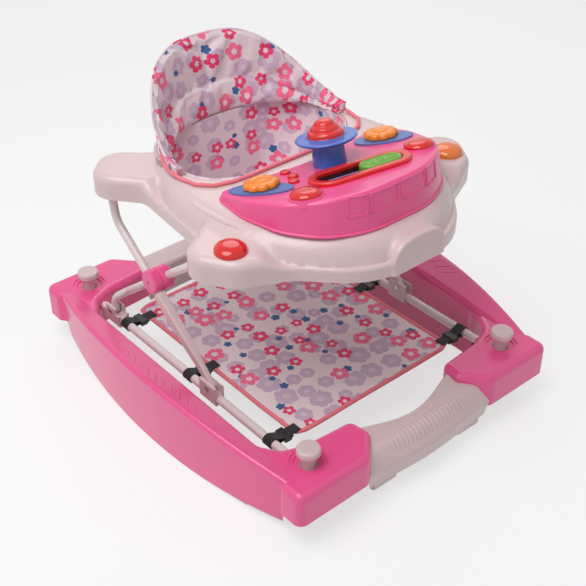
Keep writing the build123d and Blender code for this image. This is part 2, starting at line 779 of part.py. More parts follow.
dome_hole = dome_d / 2 + seat_gap
dome_boss = Pos(0, 0, -2) * Cone(dome_d / 2 + 6, dome_d / 2 + 3, 2 * dome_seat + 4)
key_places = [(-67, 21), (-73, -6), (-88, -26)]
for u in (-dome_u, dome_u):
    console = console + on_deck(u, dome_v, dome_boss)
for u in (-dome_u, dome_u):
    console = console - on_deck(u, dome_v, Cylinder(dome_hole, 60))
for u, v in key_places:
    console = console - on_deck(u, v, Cylinder(key_d / 2 + seat_gap, 40))
flower_pin_d = 6.0
for u in (-flower_u, flower_u):
    console = console - on_deck(u, flower_v, Cylinder(flower_pin_d / 2 + run_gap, 40))
pan_length = bezel_length - 2 * bezel_rim + 4
pan_width = bezel_width - 2 * bezel_rim + 4


def on_bezel(shape):
    return on_deck(bezel_u, bezel_v, Rot(0, 0, bezel_turn) * shape)


def stadium(length, width, z0, z1):
    return extrude(Pos(0, 0, z0) * SlotOverall(length, width), z1 - z0)


console = console - on_bezel(stadium(pan_length + 2 * seat_gap, pan_width + 2 * seat_gap, -30, 30))
save("console", console)

bezel = stadium(bezel_length, bezel_width, 0, 7) - stadium(
    bezel_length - 2 * bezel_rim, bezel_width - 2 * bezel_rim, -5, 20
)
bezel = fillet(bezel.faces().sort_by(Axis.Z)[-1].edges(), 3)
save("slider_bezel", on_bezel(bezel))
rail_rod = 2.5
pan = stadium(pan_length, pan_width, -14, 0) - stadium(pan_length - 4, pan_width - 4, -12, 20)
pan = pan + rod_x(rail_rod, -pan_length / 2 + 1, pan_length / 2 - 1, 0, -3)
save("slider_pan", on_bezel(pan))
slider = stadium(slider_length, pan_width - 8, -8, 8)
slider = fillet(slider.faces().sort_by(Axis.Z)[-1].edges(), 4)
slider = slider - rod_x(rail_rod + run_gap, -100, 100, 0, -3)
slider_rest = (bezel_length - 2 * bezel_rim - slider_length) / 2 - 1
save("slider_knob", on_bezel(Pos(slider_rest, 0, 0) * slider))

post = Pos(0, 0, dish_height / 2) * Cone(post_r, post_r - 2, dish_height)
post = post + rod_z(post_pin, dish_height - 1, dish_height + 14)
save("spinner_post", on_deck(0, spinner_v, post))
dish_r = dish_d / 2
dish_points = [
    (post_pin + run_gap, dish_height + seat_gap),
    (dish_r * 0.45, dish_height + seat_gap),
    (dish_r * 0.92, dish_height + 4),
    (dish_r, dish_height + 7),
    (dish_r * 0.94, dish_height + 9),
    (dish_r * 0.6, dish_height + 12),
    (post_pin + run_gap, dish_height + 12),
]
save("spinner_dish", on_deck(0, spinner_v, turned(dish_points)))
cap_r = cap_d / 2
cap_base = dish_height + 12
cap_points = [
    (post_pin + run_gap, cap_base),
    (cap_r, cap_base),
    (cap_r, cap_base + 8),
    (cap_r - 2, cap_base + 10),
    (cap_r * 0.76, cap_base + 10),
    (cap_r * 0.76, cap_base + 16),
    (cap_r * 0.7, cap_base + 18),
    (cap_r * 0.5, cap_base + 18),
    (cap_r * 0.5, cap_base + 23),
    (cap_r * 0.36, cap_base + 26),
    (0, cap_base + 27),
    (0, cap_base + 3),
    (post_pin + run_gap, cap_base + 3),
]
save("spinner_cap", on_deck(0, spinner_v, turned(cap_points)))

leaf_left = Pos(-6, -6, 0) * Rot(0, 0, -58) * extrude(Ellipse(54, 26), leaf_thickness)
leaf_right = Pos(-4, -10, 0) * Rot(0, 0, -40) * extrude(Ellipse(50, 29), leaf_thickness)
leaf_bore = Cylinder(flower_pin_d / 2 + run_gap, 40)
left_plate = on_deck(-flower_u, flower_v, leaf_left - leaf_bore)
right_plate = on_deck(flower_u, flower_v, leaf_right - leaf_bore)
save("leaf_plates", [left_plate, right_plate])
petal_count = 8
petal_r = flower_d * 0.15
flower_foot = leaf_thickness + seat_gap
flower = extrude(Pos(0, 0, flower_foot) * Circle(flower_d / 2 - petal_r), flower_height)
for step in range(petal_count):
    petal = Pos(flower_d / 2 - petal_r, 0, flower_foot) * Circle(petal_r)
    flower = flower + Rot(0, 0, 360 / petal_count * step) * extrude(petal, flower_height)
flower = flower + rod_z(flower_pin_d / 2, -8, flower_foot + 2)
save("flower_right", on_deck(flower_u, flower_v, flower))
save("flower_left", on_deck(-flower_u, flower_v, flower))

key = rod_z(key_d / 2, -console_wall - 3, 4)
key = fillet(key.edges().sort_by(Axis.Z)[-1], 1.5)
key = key + rod_z(key_d / 2 + 0.6, -console_wall - 5, -console_wall - 3)
for number, (u, v) in enumerate(key_places, 1):
    save(f"key_{number}", on_deck(u, v, key))

dome_r = dome_d / 2
dome_points = [
    (0, -console_wall - 8),
    (dome_r, -console_wall - 8),
    (dome_r, dome_seat + dome_rise * 0.3),
    (dome_r * 0.9, dome_seat + dome_rise * 0.62),
    (dome_r * 0.66, dome_seat + dome_rise * 0.85),
    (dome_r * 0.34, dome_seat + dome_rise * 0.97),
    (0, dome_seat + dome_rise),
]
dome = turned(dome_points)
save("dome_button_right", on_deck(dome_u, dome_v, dome))
save("dome_button_left", on_deck(-dome_u, dome_v, dome))


# Seat
def half_oval(a, b):
    return [(-a * cos(pi * step / 8), back_y + b * sin(pi * step / 8)) for step in range(9)]


def half_ring(a, b, thickness, z):
    outer = Spline(*half_oval(a, b))
    inner = Spline(*half_oval(a - thickness, b - thickness))
    sides = Line(outer @ 1, inner @ 1) + Line(inner @ 0, outer @ 0)
    return Pos(0, 0, z) * make_face(outer + sides + inner)


back_foot = deck_z + seat_gap
back_levels = [(0, 0.85), (0.17, 1.3), (0.33, 0.8), (0.6, 1.2), (0.85, 0.95), (1.0, 0.6)]
back_faces = []
for share, fullness in back_levels:
    a = back_base_a + (back_top_a - back_base_a) * share
    b = back_base_b + (back_top_b - back_base_b) * share
    level = back_foot + (back_top_z - back_foot) * share
    back_faces.append(half_ring(a, b, back_thickness * fullness, level))
backrest = loft(back_faces)
arch = []
for step in range(-8, 9):
    arch.append((back_span * step / 8, back_top_z - back_drop * abs(step / 8) ** 3.45))
arch_top = Spline(*arch)
arch_line = arch_top + Polyline(arch_top @ 1, (back_span, 400), (-back_span, 400), arch_top @ 0)
arch_solid = extrude(at_y(400) * make_face(arch_line), 500)
backrest = backrest & arch_solid
save("seat_backrest", backrest)


def sling_face(width, length, corner, y, z):
    return Pos(0, y, z) * RectangleRounded(width, length, corner)


def sling_loft(inset, top, bottom):
    shrink = 2 * inset + 2 * seat_gap
    wide = hole_width - shrink
    long = hole_length - shrink
    return loft(
        [
            sling_face(wide, long, hole_corner - inset, hole_y, top),
            sling_face(wide - 30, long - 24, hole_corner - inset - 12, hole_y, 390),
            sling_face(250 - shrink, 150 - shrink, 60 - inset, hole_y + 6, 320),
            sling_face(150 - shrink, 90 - shrink, 40 - inset, hole_y + 6, bottom),
        ]
    )


sling_top = deck_z - seat_gap
sling = sling_loft(0, sling_top, sling_bottom)
sling = sling - sling_loft(sling_wall, sling_top + 1, sling_bottom + sling_wall)
for x in (-leg_hole_x, leg_hole_x):
    sling = sling - rod_y(leg_hole_d / 2, -200, hole_y - 10, x, leg_hole_z)
save("seat_sling", sling)

# Foot mat and straps
mat_y = (mat_front_y + mat_rear_y) / 2
mat_plan = RectangleRounded(2 * mat_half_width, mat_rear_y - mat_front_y, 24)
mat = extrude(Pos(0, mat_y, mat_top - mat_thickness) * mat_plan, mat_thickness)
mat = fillet(mat.faces().sort_by(Axis.Z)[-1].edges(), 2)
save("foot_mat", mat)
strap_ys = [190, -7, -228]
strap_in = tube_d / 2 + seat_gap
straps = []
buckles = []
for y in strap_ys:
    loop = rod_y(strap_in + strap_thickness, y - strap_width / 2, y + strap_width / 2, knob_x, tube_z)
    loop = loop - rod_y(strap_in, y - strap_width, y + strap_width, knob_x, tube_z)
    tail_start = (knob_x - strap_in - strap_thickness / 2, tube_z)
    tail_end = (mat_half_width + seat_gap, mat_top - mat_thickness / 2)
    lift = strap_thickness
    tail = make_face(
        Polyline(
            (tail_start[0], tail_start[1] - lift),
            (tail_start[0], tail_start[1] + lift),
            (tail_end[0], tail_end[1] + lift),
            (tail_end[0], tail_end[1] - lift),
            close=True,
        )
    )
    tail = extrude(at_y(y + strap_width / 2) * tail, strap_width)
    straps = straps + pair(loop + tail)
    middle_x = (tail_start[0] + tail_end[0]) / 2
    middle_z = (tail_start[1] + tail_end[1]) / 2
    buckle = Pos(middle_x, y, middle_z) * Box(15, strap_width + 7, 10)
    buckle = fillet(buckle.edges().filter_by(Axis.Y), 2)
    room_half = strap_width / 2 + seat_gap
    room = block(0, 400, y - room_half, y + room_half, middle_z - 3, middle_z + 3)
    buckles = buckles + pair(buckle - room)
save("mat_straps", straps)
save("mat_buckles", buckles)
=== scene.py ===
import bpy
import bmesh
import json
import math
from mathutils import Matrix, Vector, noise
from mathutils.bvhtree import BVHTree
from mathutils.kdtree import KDTree


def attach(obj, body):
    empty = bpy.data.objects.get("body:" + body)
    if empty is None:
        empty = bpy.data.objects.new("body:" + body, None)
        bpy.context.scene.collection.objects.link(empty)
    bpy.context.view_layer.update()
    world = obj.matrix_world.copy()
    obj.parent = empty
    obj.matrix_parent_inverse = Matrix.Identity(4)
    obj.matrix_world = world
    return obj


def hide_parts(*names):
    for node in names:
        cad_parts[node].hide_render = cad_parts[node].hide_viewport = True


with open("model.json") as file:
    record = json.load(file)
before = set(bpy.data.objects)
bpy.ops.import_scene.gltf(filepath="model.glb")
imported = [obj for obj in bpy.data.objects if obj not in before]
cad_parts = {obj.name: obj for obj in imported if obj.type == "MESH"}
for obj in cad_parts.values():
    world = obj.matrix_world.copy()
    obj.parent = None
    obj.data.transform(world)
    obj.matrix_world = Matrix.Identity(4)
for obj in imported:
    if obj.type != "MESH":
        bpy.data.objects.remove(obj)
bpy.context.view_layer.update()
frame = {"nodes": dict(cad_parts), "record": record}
nodes = frame["nodes"]
scene = bpy.context.scene
mm = 0.001


# Materials
def srgb(r, g, b):
    def lin(c):
        c = c / 255
        return c / 12.92 if c <= 0.04045 else ((c + 0.055) / 1.055) ** 2.4

    return (lin(r), lin(g), lin(b), 1.0)


def new_material(name):
    mat = bpy.data.materials.new(name)
    mat.use_nodes = True
    return mat, mat.node_tree, mat.node_tree.nodes["Principled BSDF"]


def noise_bump(tree, shader, scale, strength, coord="Object"):
    where = tree.nodes.new("ShaderNodeTexCoord")
    tex = tree.nodes.new("ShaderNodeTexNoise")
    tex.inputs["Scale"].default_value = scale
    tex.inputs["Detail"].default_value = 3.0
    bump = tree.nodes.new("ShaderNodeBump")
    bump.inputs["Strength"].default_value = strength
    bump.inputs["Distance"].default_value = 0.001
    tree.links.new(where.outputs[coord], tex.inputs["Vector"])
    tree.links.new(tex.outputs["Fac"], bump.inputs["Height"])
    tree.links.new(bump.outputs["Normal"], shader.inputs["Normal"])


def plastic(name, colour, rough=0.32, coat=0.15, grain=0.03):
    mat, tree, shader = new_material(name)
    shader.inputs["Base Color"].default_value = srgb(*colour)
    shader.inputs["Roughness"].default_value = rough
    shader.inputs["Coat Weight"].default_value = coat
    shader.inputs["Coat Roughness"].default_value = 0.15
    shader.inputs["Subsurface Weight"].default_value = 0.05
    shader.inputs["Subsurface Radius"].default_value = (0.01, 0.005, 0.004)
    noise_bump(tree, shader, 260.0, grain)
    return mat


def clear_plastic(name, colour):
    mat, _, shader = new_material(name)
    shader.inputs["Base Color"].default_value = srgb(*colour)
    shader.inputs["Roughness"].default_value = 0.06
    shader.inputs["Transmission Weight"].default_value = 0.05
    shader.inputs["IOR"].default_value = 1.49
    shader.inputs["Coat Weight"].default_value = 0.35
    shader.inputs["Coat Roughness"].default_value = 0.03
    return mat


def metal(name, colour, rough):
    mat, _, shader = new_material(name)
    shader.inputs["Base Color"].default_value = srgb(*colour)
    shader.inputs["Metallic"].default_value = 1.0
    shader.inputs["Roughness"].default_value = rough
    return mat


def seen_directly(tree):
    """1 for the rays of the camera, of reflections and of clear pieces, 0 for the light on the object."""
    rays = tree.nodes.new("ShaderNodeLightPath")
    seen = rays.outputs["Is Camera Ray"]
    for kind in ("Is Glossy Ray", "Is Transmission Ray"):
        seen = maths(tree, "MAXIMUM", seen, rays.outputs[kind])
    return seen


def studio_white(name, colour, share):
    """Floor paint that is seen mixed with plain white, so that it stays pale and keeps the shadow."""
    mat, tree, shader = new_material(name)
    shader.inputs["Base Color"].default_value = srgb(*colour)
    shader.inputs["Roughness"].default_value = 0.9
    white = tree.nodes.new("ShaderNodeEmission")
    blend = tree.nodes.new("ShaderNodeMixShader")
    tree.links.new(maths(tree, "MULTIPLY", seen_directly(tree), share), blend.inputs["Fac"])
    tree.links.new(shader.outputs["BSDF"], blend.inputs[1])
    tree.links.new(white.outputs["Emission"], blend.inputs[2])
    tree.links.new(blend.outputs["Shader"], tree.nodes["Material Output"].inputs["Surface"])
    return mat


def maths(tree, kind, a, b=None):
    node = tree.nodes.new("ShaderNodeMath")
    node.operation = kind
    for slot, value in enumerate((a, b)):
        if value is None:
            continue
        if isinstance(value, (int, float)):
            node.inputs[slot].default_value = value
        else:
            tree.links.new(value, node.inputs[slot])
    return node.outputs[0]


def mixed(tree, factor, under, over):
    node = tree.nodes.new("ShaderNodeMix")
    node.data_type = "RGBA"
    tree.links.new(factor, node.inputs["Factor"])
    for socket, value in (("A", under), ("B", over)):
        target = [s for s in node.inputs if s.name == socket and s.type == "RGBA"][0]
        if isinstance(value, tuple):
            target.default_value = value
        else:
            tree.links.new(value, target)
    return [s for s in node.outputs if s.type == "RGBA"][0]


def blossom_layer(tree, where, scale, size, petals, depth, chance, shift):
    """Mask of scattered blossoms, one in some of the cells, and that cell's random colour."""
    move = tree.nodes.new("ShaderNodeVectorMath")
    move.operation = "MULTIPLY_ADD"
    move.inputs[1].default_value = (scale, scale, 0.0)
    move.inputs[2].default_value = (shift, shift * 0.7, 0.0)
    tree.links.new(where, move.inputs[0])
    cells = tree.nodes.new("ShaderNodeTexVoronoi")
    cells.voronoi_dimensions = "2D"
    cells.inputs["Scale"].default_value = 1.0
    cells.inputs["Randomness"].default_value = 0.62
    tree.links.new(move.outputs[0], cells.inputs["Vector"])
    offset = tree.nodes.new("ShaderNodeVectorMath")
    offset.operation = "SUBTRACT"
    tree.links.new(move.outputs[0], offset.inputs[0])
    tree.links.new(cells.outputs["Position"], offset.inputs[1])
    split = tree.nodes.new("ShaderNodeSeparateXYZ")
    tree.links.new(offset.outputs[0], split.inputs[0])
    tint = tree.nodes.new("ShaderNodeSeparateColor")
    tree.links.new(cells.outputs["Color"], tint.inputs[0])
    turn = maths(tree, "MULTIPLY", tint.outputs[2], 6.28)
    angle = maths(tree, "ADD", maths(tree, "ARCTAN2", split.outputs[1], split.outputs[0]), turn)
    wave = maths(tree, "ABSOLUTE", maths(tree, "COSINE", maths(tree, "MULTIPLY", angle, petals / 2)))
    wave = maths(tree, "POWER", wave, 0.55)
    lobed = maths(tree, "ADD", maths(tree, "MULTIPLY", wave, depth), 1.0 - depth)
    grow = maths(tree, "ADD", maths(tree, "MULTIPLY", tint.outputs[1], 0.5), 0.6)
    edge = maths(tree, "MULTIPLY", maths(tree, "MULTIPLY", lobed, size), grow)
    distance = cells.outputs["Distance"]
    here = maths(tree, "GREATER_THAN", tint.outputs[0], 1.0 - chance)
    mask = maths(tree, "MULTIPLY", maths(tree, "LESS_THAN", distance, edge), here)
    heart = maths(tree, "LESS_THAN", distance, maths(tree, "MULTIPLY", edge, 0.34))
    return mask, heart, tint


def print_fabric(name, ground):
    mat, tree, shader = new_material(name)
    where = tree.nodes.new("ShaderNodeTexCoord").outputs["UV"]
    pale, pale_heart, _ = blossom_layer(tree, where, 23.0, 0.5, 6.0, 0.22, 0.92, 3.7)
    bold, bold_heart, bold_tint = blossom_layer(tree, where, 22.0, 0.42, 5.0, 0.42, 0.6, 0.0)
    tiny, _, _ = blossom_layer(tree, where, 25.0, 0.22, 5.0, 0.4, 0.26, 9.3)
    colour = mixed(tree, pale, srgb(*ground), srgb(204, 178, 200))
    colour = mixed(tree, maths(tree, "MULTIPLY", pale, pale_heart), colour, srgb(216, 198, 210))
    deep_rose, light_rose = srgb(232, 62, 112), srgb(245, 112, 148)
    rosy = mixed(tree, maths(tree, "GREATER_THAN", bold_tint.outputs[1], 0.5), deep_rose, light_rose)
    colour = mixed(tree, bold, colour, rosy)
    colour = mixed(tree, maths(tree, "MULTIPLY", bold, bold_heart), colour, srgb(*ground))
    free = maths(tree, "MULTIPLY", tiny, maths(tree, "SUBTRACT", 1.0, bold))
    colour = mixed(tree, free, colour, srgb(52, 96, 150))
    tree.links.new(colour, shader.inputs["Base Color"])
    shader.inputs["Roughness"].default_value = 0.85
    shader.inputs["Sheen Weight"].default_value = 0.15
    weave(tree, shader, where, 1400.0, 0.12)
    return mat


def weave(tree, shader, where, scale, strength):
    bands = []
    for direction in ("X", "Y"):
        wave = tree.nodes.new("ShaderNodeTexWave")
        wave.bands_direction = direction
        wave.inputs["Scale"].default_value = scale / 6.0
        wave.inputs["Distortion"].default_value = 0.4
        tree.links.new(where, wave.inputs["Vector"])
        bands.append(wave.outputs["Fac"])
    height = maths(tree, "ADD", bands[0], bands[1])
    bump = tree.nodes.new("ShaderNodeBump")
    bump.inputs["Strength"].default_value = strength
    bump.inputs["Distance"].default_value = 0.0006
    tree.links.new(height, bump.inputs["Height"])
    tree.links.new(bump.outputs["Normal"], shader.inputs["Normal"])


def plain_fabric(name, colour, scale=1400.0, strength=0.25):
    mat, tree, shader = new_material(name)
    shader.inputs["Base Color"].default_value = srgb(*colour)
    shader.inputs["Roughness"].default_value = 0.8
    shader.inputs["Sheen Weight"].default_value = 0.1
    where = tree.nodes.new("ShaderNodeTexCoord").outputs["UV"]
    weave(tree, shader, where, scale, strength)
    return mat


pink = plastic("hot_pink", (238, 85, 147), 0.3, 0.25)
cream = plastic("cream", (216, 192, 192))
tube_paint = plastic("tube_paint", (222, 208, 208), 0.25, 0.3, 0.0)
steel = metal("steel", (190, 190, 190), 0.35)
grey = plastic("caster_grey", (190, 182, 182), 0.5, 0.0)
rubber = plastic("wheel_rubber", (58, 56, 58), 0.7, 0.0)
black = plastic("buckle_black", (24, 24, 26), 0.45, 0.05)
webbing = plain_fabric("webbing_black", (26, 26, 28), 900.0, 0.5)
red = plastic("toy_red", (222, 26, 28), 0.22, 0.4, 0.0)
red_clear = clear_plastic("clear_red", (224, 18, 18))
amber_clear = clear_plastic("clear_amber", (236, 120, 40))
blue = plastic("toy_blue", (60, 110, 202), 0.25, 0.35, 0.0)
slate = plastic("leaf_blue", (84, 116, 178), 0.4, 0.1, 0.0)
orange = plastic("toy_orange", (244, 138, 24), 0.28, 0.3, 0.0)
green = plastic("toy_green", (112, 172, 52), 0.35, 0.2, 0.25)
dark = plastic("pan_dark", (70, 22, 34), 0.5, 0.0)
salmon = plain_fabric("salmon_binding", (240, 128, 140))
seat_print = print_fabric("seat_print", (228, 210, 216))
# The foot mat's print pattern is its own colour. Its ground is painted lighter than the seat's, painted
# light that offsets the tray's shadow on the mat.
mat_print_shade_offset = print_fabric("mat_print_shade_offset", (236, 219, 222))

by_slot = {
    "pink_plastic": pink,
    "cream_plastic": cream,
    "white_tube": tube_paint,
    "steel": steel,
    "caster_plastic": grey,
    "wheel_rubber": rubber,
    "mat_fabric": mat_print_shade_offset,
    "strap_black": webbing,
    "buckle_black": black,
    "seat_fabric": seat_print,
    "red_clear": red_clear,
    "red_plastic": red,
    "blue_plastic": blue,
    "orange_plastic": orange,
    "green_plastic": green,
    "dark_plastic": dark,
}
for part in frame["record"]["subparts"]:
    obj = nodes[part["node"]]
    obj.data.materials.clear()
    obj.data.materials.append(by_slot[part["material_slot"]])
    obj.data.shade_smooth()
    obj.data.set_sharp_from_angle(angle=math.radians(34))
nodes["leaf_plates"].data.materials[0] = slate


# Mesh helpers
def mesh_object(name, verts, faces, material, uvs=None, smooth=True):
    mesh = bpy.data.meshes.new(name)
    mesh.from_pydata([tuple(v) for v in verts], [], faces)
    if uvs:
        layer = mesh.uv_layers.new(name="UVMap")
        for loop in mesh.loops:
            layer.data[loop.index].uv = uvs[loop.vertex_index]
    mesh.materials.append(material)
    if smooth:
        mesh.shade_smooth()
    mesh.update()
    obj = bpy.data.objects.new(name, mesh)
    scene.collection.objects.link(obj)
    return obj


def corner_uvs(obj, corners):
    """UVs that are given face by face, so that panels can meet at a sewn seam."""
    layer = obj.data.uv_layers.new(name="UVMap")
    for spot, uv in zip(layer.data, [uv for face in corners for uv in face]):
        spot.uv = uv


def grid_faces(rows, columns, closed_columns=False, closed_rows=False):
    faces = []
    for i in range(rows if closed_rows else rows - 1):
        for j in range(columns if closed_columns else columns - 1):
            a = i * columns + j
            b = i * columns + (j + 1) % columns
            c = ((i + 1) % rows) * columns + (j + 1) % columns
            d = ((i + 1) % rows) * columns + j
            faces.append((a, b, c, d))
    return faces


def outward(obj):
    work = bmesh.new()
    work.from_mesh(obj.data)
    bmesh.ops.recalc_face_normals(work, faces=work.faces)
    work.to_mesh(obj.data)
    work.free()
    obj.data.update()


def freeze(obj):
    """The object's mesh with its modifiers applied, and the modifiers gone."""
    depsgraph = bpy.context.evaluated_depsgraph_get()
    shaped = obj.evaluated_get(depsgraph)
    mesh = bpy.data.meshes.new_from_object(shaped, preserve_all_data_layers=True, depsgraph=depsgraph)
    obj.modifiers.clear()
    old = obj.data
    obj.data = mesh
    bpy.data.meshes.remove(old)
    return obj


def tube(name, points, radius, material, closed=False, sides=10, flat=1.0):
    """A round tube along a line of points, with ends closed."""
    count = len(points)
    verts = []
    uvs = []
    along = 0.0
    up = Vector((0, 0, 1))
    for i, p in enumerate(points):
        before = points[(i - 1) % count] if closed or i > 0 else p
        after = points[(i + 1) % count] if closed or i < count - 1 else p
        ahead = (Vector(after) - Vector(before)).normalized()
        side = ahead.cross(up)
        side = side.normalized() if side.length > 1e-6 else Vector((1, 0, 0))
        top = side.cross(ahead).normalized()
        if i:
            along += (Vector(p) - Vector(points[i - 1])).length
        for j in range(sides):
            angle = 2 * math.pi * j / sides
            out = side * math.cos(angle) + top * math.sin(angle) * flat
            verts.append(Vector(p) + out * radius)
            uvs.append((along, radius * angle))
    faces = grid_faces(count, sides, True, closed)
    if not closed:
        faces.append(tuple(range(sides)))
        faces.append(tuple(range((count - 1) * sides, count * sides)))
    obj = mesh_object(name, verts, faces, material, uvs)
    outward(obj)
    return obj


def surface(node):
    mesh = nodes[node].data
    return BVHTree.FromPolygons([v.co for v in mesh.vertices], [p.vertices[:] for p in mesh.polygons])


def rounded_rect(width, length, corner, count):
    """Points evenly spaced round a rounded rectangle, from the middle of its rear side."""
    half_w, half_l = width / 2 - corner, length / 2 - corner
    path = [(0.0, length / 2)]
    left = [(-half_w, half_l, 90), (-half_w, -half_l, 180)]
    right = [(half_w, -half_l, 270), (half_w, half_l, 0)]
    for cx, cy, start in left + right:
        for k in range(17):
            turn = math.radians(start + 90 * k / 16)
            path.append((cx + corner * math.cos(turn), cy + corner * math.sin(turn)))
    return evenly([Vector(p) for p in path], count)


def evenly(path, count):
    """Points evenly spaced along a closed line."""
    lengths = [0.0]
    for a, b in zip(path, path[1:] + path[:1]):
        lengths.append(lengths[-1] + (b - a).length)
    points = []
    n = 0
    for k in range(count):
        target = lengths[-1] * k / count
        while lengths[n + 1] < target:
            n += 1
        share = (target - lengths[n]) / max(lengths[n + 1] - lengths[n], 1e-9)
        points.append(path[n].lerp(path[(n + 1) % len(path)], share))
    return points


# Tray: one soft moulding with a rolled deck, a lower ledge and four lobes
tray_middle = Vector((0.0, -40.0))
tray_foot, tray_deck = 385.2, 446.5
ledge_z, lobe_z = 409.0, 428.3
deck_a, deck_b = 228.0, 271.0
roll_width, roll_drop = 36.0, 42.0
tray_wall = 3.2
plain_a, plain_b = 232.0, 275.0
outline_z = 396.0
seat_hole = (340.0, 208.0, 84.0)
seat_hole_y = 92.0


def smooth_max(a, b, soft):
    mix = max(soft - abs(a - b), 0.0) / soft
    return max(a, b) + mix * mix * soft / 4


def ease(value):
    value = min(max(value, 0.0), 1.0)
    return value * value * (3 - 2 * value)


def outline_of(node, middle, height, count):
    """Points evenly spaced round a node at one height, read from the solid, from the middle of its rear."""
    tree = surface(node)
    ring = []
    steps = 1440
    for k in range(steps):
        turn = 2 * math.pi * (k / steps + 0.25)
        aim = Vector((math.cos(turn), math.sin(turn), 0))
        start = Vector((middle.x, middle.y, height)) * mm + aim * 0.6
        hit = tree.ray_cast(start, -aim)[0]
        ring.append(Vector((hit.x, hit.y)) / mm)
    return evenly(ring, count)


def edge_distance(p, line, tree):
    k = tree.find((p.x, p.y, 0))[1]
    best = 1e9
    for a, b in ((line[k - 1], line[k]), (line[k], line[(k + 1) % len(line)])):
        run = b - a
        share = min(max((p - a).dot(run) / run.length_squared, 0.0), 1.0)
        best = min(best, (a + run * share - p).length)
    return best


def boss_height(x, y):
    """The bare arched boss at the middle of the front."""
    across = abs(x) / 57.0
    if across >= 1.0:
        return 0.0
    arch = 441.0 - 40.0 * (1 - math.sqrt(max(1 - across**3.2, 0.0)))
    behind = ease((y + 296.0) / 22.0)
    return arch - 60.0 * behind


def tray_height(p, edge, rim):
    """Top of the moulding at p, with the distance to the edge and how much of a lobe the edge is there."""
    d = p - tray_middle
    rho = math.hypot(d.x / deck_a, d.y / deck_b)
    inside = d.length * (1 / max(rho, 1e-6) - 1)
    if inside >= roll_width:
        deck = tray_deck
    elif inside > 0:
        deck = tray_deck - roll_drop * (1 - math.sqrt(1 - ((roll_width - inside) / roll_width) ** 2))
    else:
        deck = tray_deck - roll_drop + inside * 1.2
    low = ledge_z + (lobe_z - ledge_z) * rim
    turn_over = 5.5 + 8.5 * rim
    if edge < turn_over:
        low -= turn_over - math.sqrt(turn_over**2 - (turn_over - edge) ** 2)
    top = smooth_max(deck, low, 4.0 + 6.0 * rim)
    boss = boss_height(p.x, p.y)
    if boss > 380.0:
        if edge < 5.0:
            boss -= 5.0 - math.sqrt(25.0 - (5.0 - edge) ** 2)
        top = smooth_max(top, boss, 3.0)
    return top


def tray_shell(around=520):
    edge = outline_of("tray", tray_middle, outline_z, around)
    finder = KDTree(around)
    for k, p in enumerate(edge):
        finder.insert((p.x, p.y, 0), k)
    finder.balance()
    hub = Vector((0.0, 40.0))
    hole = [Vector((x, y + seat_hole_y)) for x, y in rounded_rect(*seat_hole, 720)]
    bearings = [math.atan2(-(p - hub).x, (p - hub).y) % (2 * math.pi) for p in hole]
    near_edge = [0.0, 0.5, 1.3, 2.5, 4.0, 6.0, 8.5, 11.5, 15.0, 19.0, 24.0, 30.0, 37.0, 46.0]
    steps = 16
    verts = []
    for p in edge:
        bearing = math.atan2(-(p - hub).x, (p - hub).y) % (2 * math.pi)
        k = min(range(len(hole)), key=lambda n: abs(bearings[n] - bearing))
        inner = hole[k]
        reach = (p - inner).length
        aim = (p - inner) / reach
        shrink = min(reach / 60.0, 1.0)
        line = [p - aim * (left * shrink) for left in near_edge]
        far = reach - near_edge[-1] * shrink
        line += [inner + aim * (far * (1 - k / steps)) for k in range(1, steps + 1)]
        base = (p - tray_middle).normalized()
        plain = 1 / math.hypot(base.x / plain_a, base.y / plain_b)
        rim = ease(((p - tray_middle).length - plain - 6.0) / 30.0)
        for spot in reversed(line):
            lobe_here = rim * ease(((spot - tray_middle).length / plain - 0.55) / 0.4)
            height = tray_height(spot, edge_distance(spot, edge, finder), lobe_here)
            verts.append(Vector((spot.x, spot.y, height)))
        top = verts[-1].z
        for k in range(1, 5):
            verts.append(Vector((p.x, p.y, top + (tray_foot - top) * k / 4)))
    columns = len(near_edge) + steps + 4
    faces = grid_faces(around, columns, False, True)
    obj = mesh_object("tray_shell", [v * mm for v in verts], faces, cream)
    thick = obj.modifiers.new("wall", "SOLIDIFY")
    thick.thickness = tray_wall * mm
    thick.offset = -1
    freeze(obj)
    outward(obj)
    obj.data.shade_smooth()
    obj.data.set_sharp_from_angle(angle=math.radians(50))
    return obj


tray = tray_shell()
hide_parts("tray")
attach(tray, "tray")

# Collar round the seat well, from (distance outside the well, height) points
collar_profile = [(5.0, 446.6), (1.2, 446.9), (-0.6, 445.2), (-0.6, 425.0), (2.6, 425.0), (3.0, 444.0)]
collar_count = 160
well_width, well_length, well_corner = seat_hole
verts = []
for grow, z in collar_profile:
    ring = rounded_rect(well_width + 2 * grow, well_length + 2 * grow, well_corner + grow, collar_count)
    for x, y in ring:
        verts.append(Vector((x, y + seat_hole_y, z)) * mm)
collar = mesh_object("tray_collar", verts, grid_faces(len(collar_profile), collar_count, True, True), cream)
outward(collar)
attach(collar, "tray")


# Padded backrest, a curved wall that flares upwards and falls away to its wings
deck_top = 446.8
back_centre = 56.0
back_height = 136.2
back_half_width, back_width_flare = 184, 28
back_depth, back_depth_flare = 150, 42
back_peak, back_fall, back_reach = 583, 140, 196
wing_crease = 1.02


def back_point(angle, share, inset):
    a = back_half_width + back_width_flare * share - inset
    b = back_depth + back_depth_flare * share - inset
    return (a * math.sin(angle), back_centre + b * math.cos(angle), deck_top + back_height * share)


def back_top(angle):
    """Share of the full height that the wall reaches at an angle."""
    share = 1.0
    for _ in range(12):
        x = abs(back_point(angle, share, 0)[0])
        edge_z = back_peak - back_fall * (x / back_reach) ** 3.45
        share = max((edge_z - deck_top) / back_height, 0.06)
    return share


def back_seam(angle):
    return 0.40 - 0.16 * abs(math.sin(angle)) ** 2.2


def puff(value, low, high):
    return max(math.sin(math.pi * min(max((value - low) / (high - low), 0), 1)), 0) ** 0.6


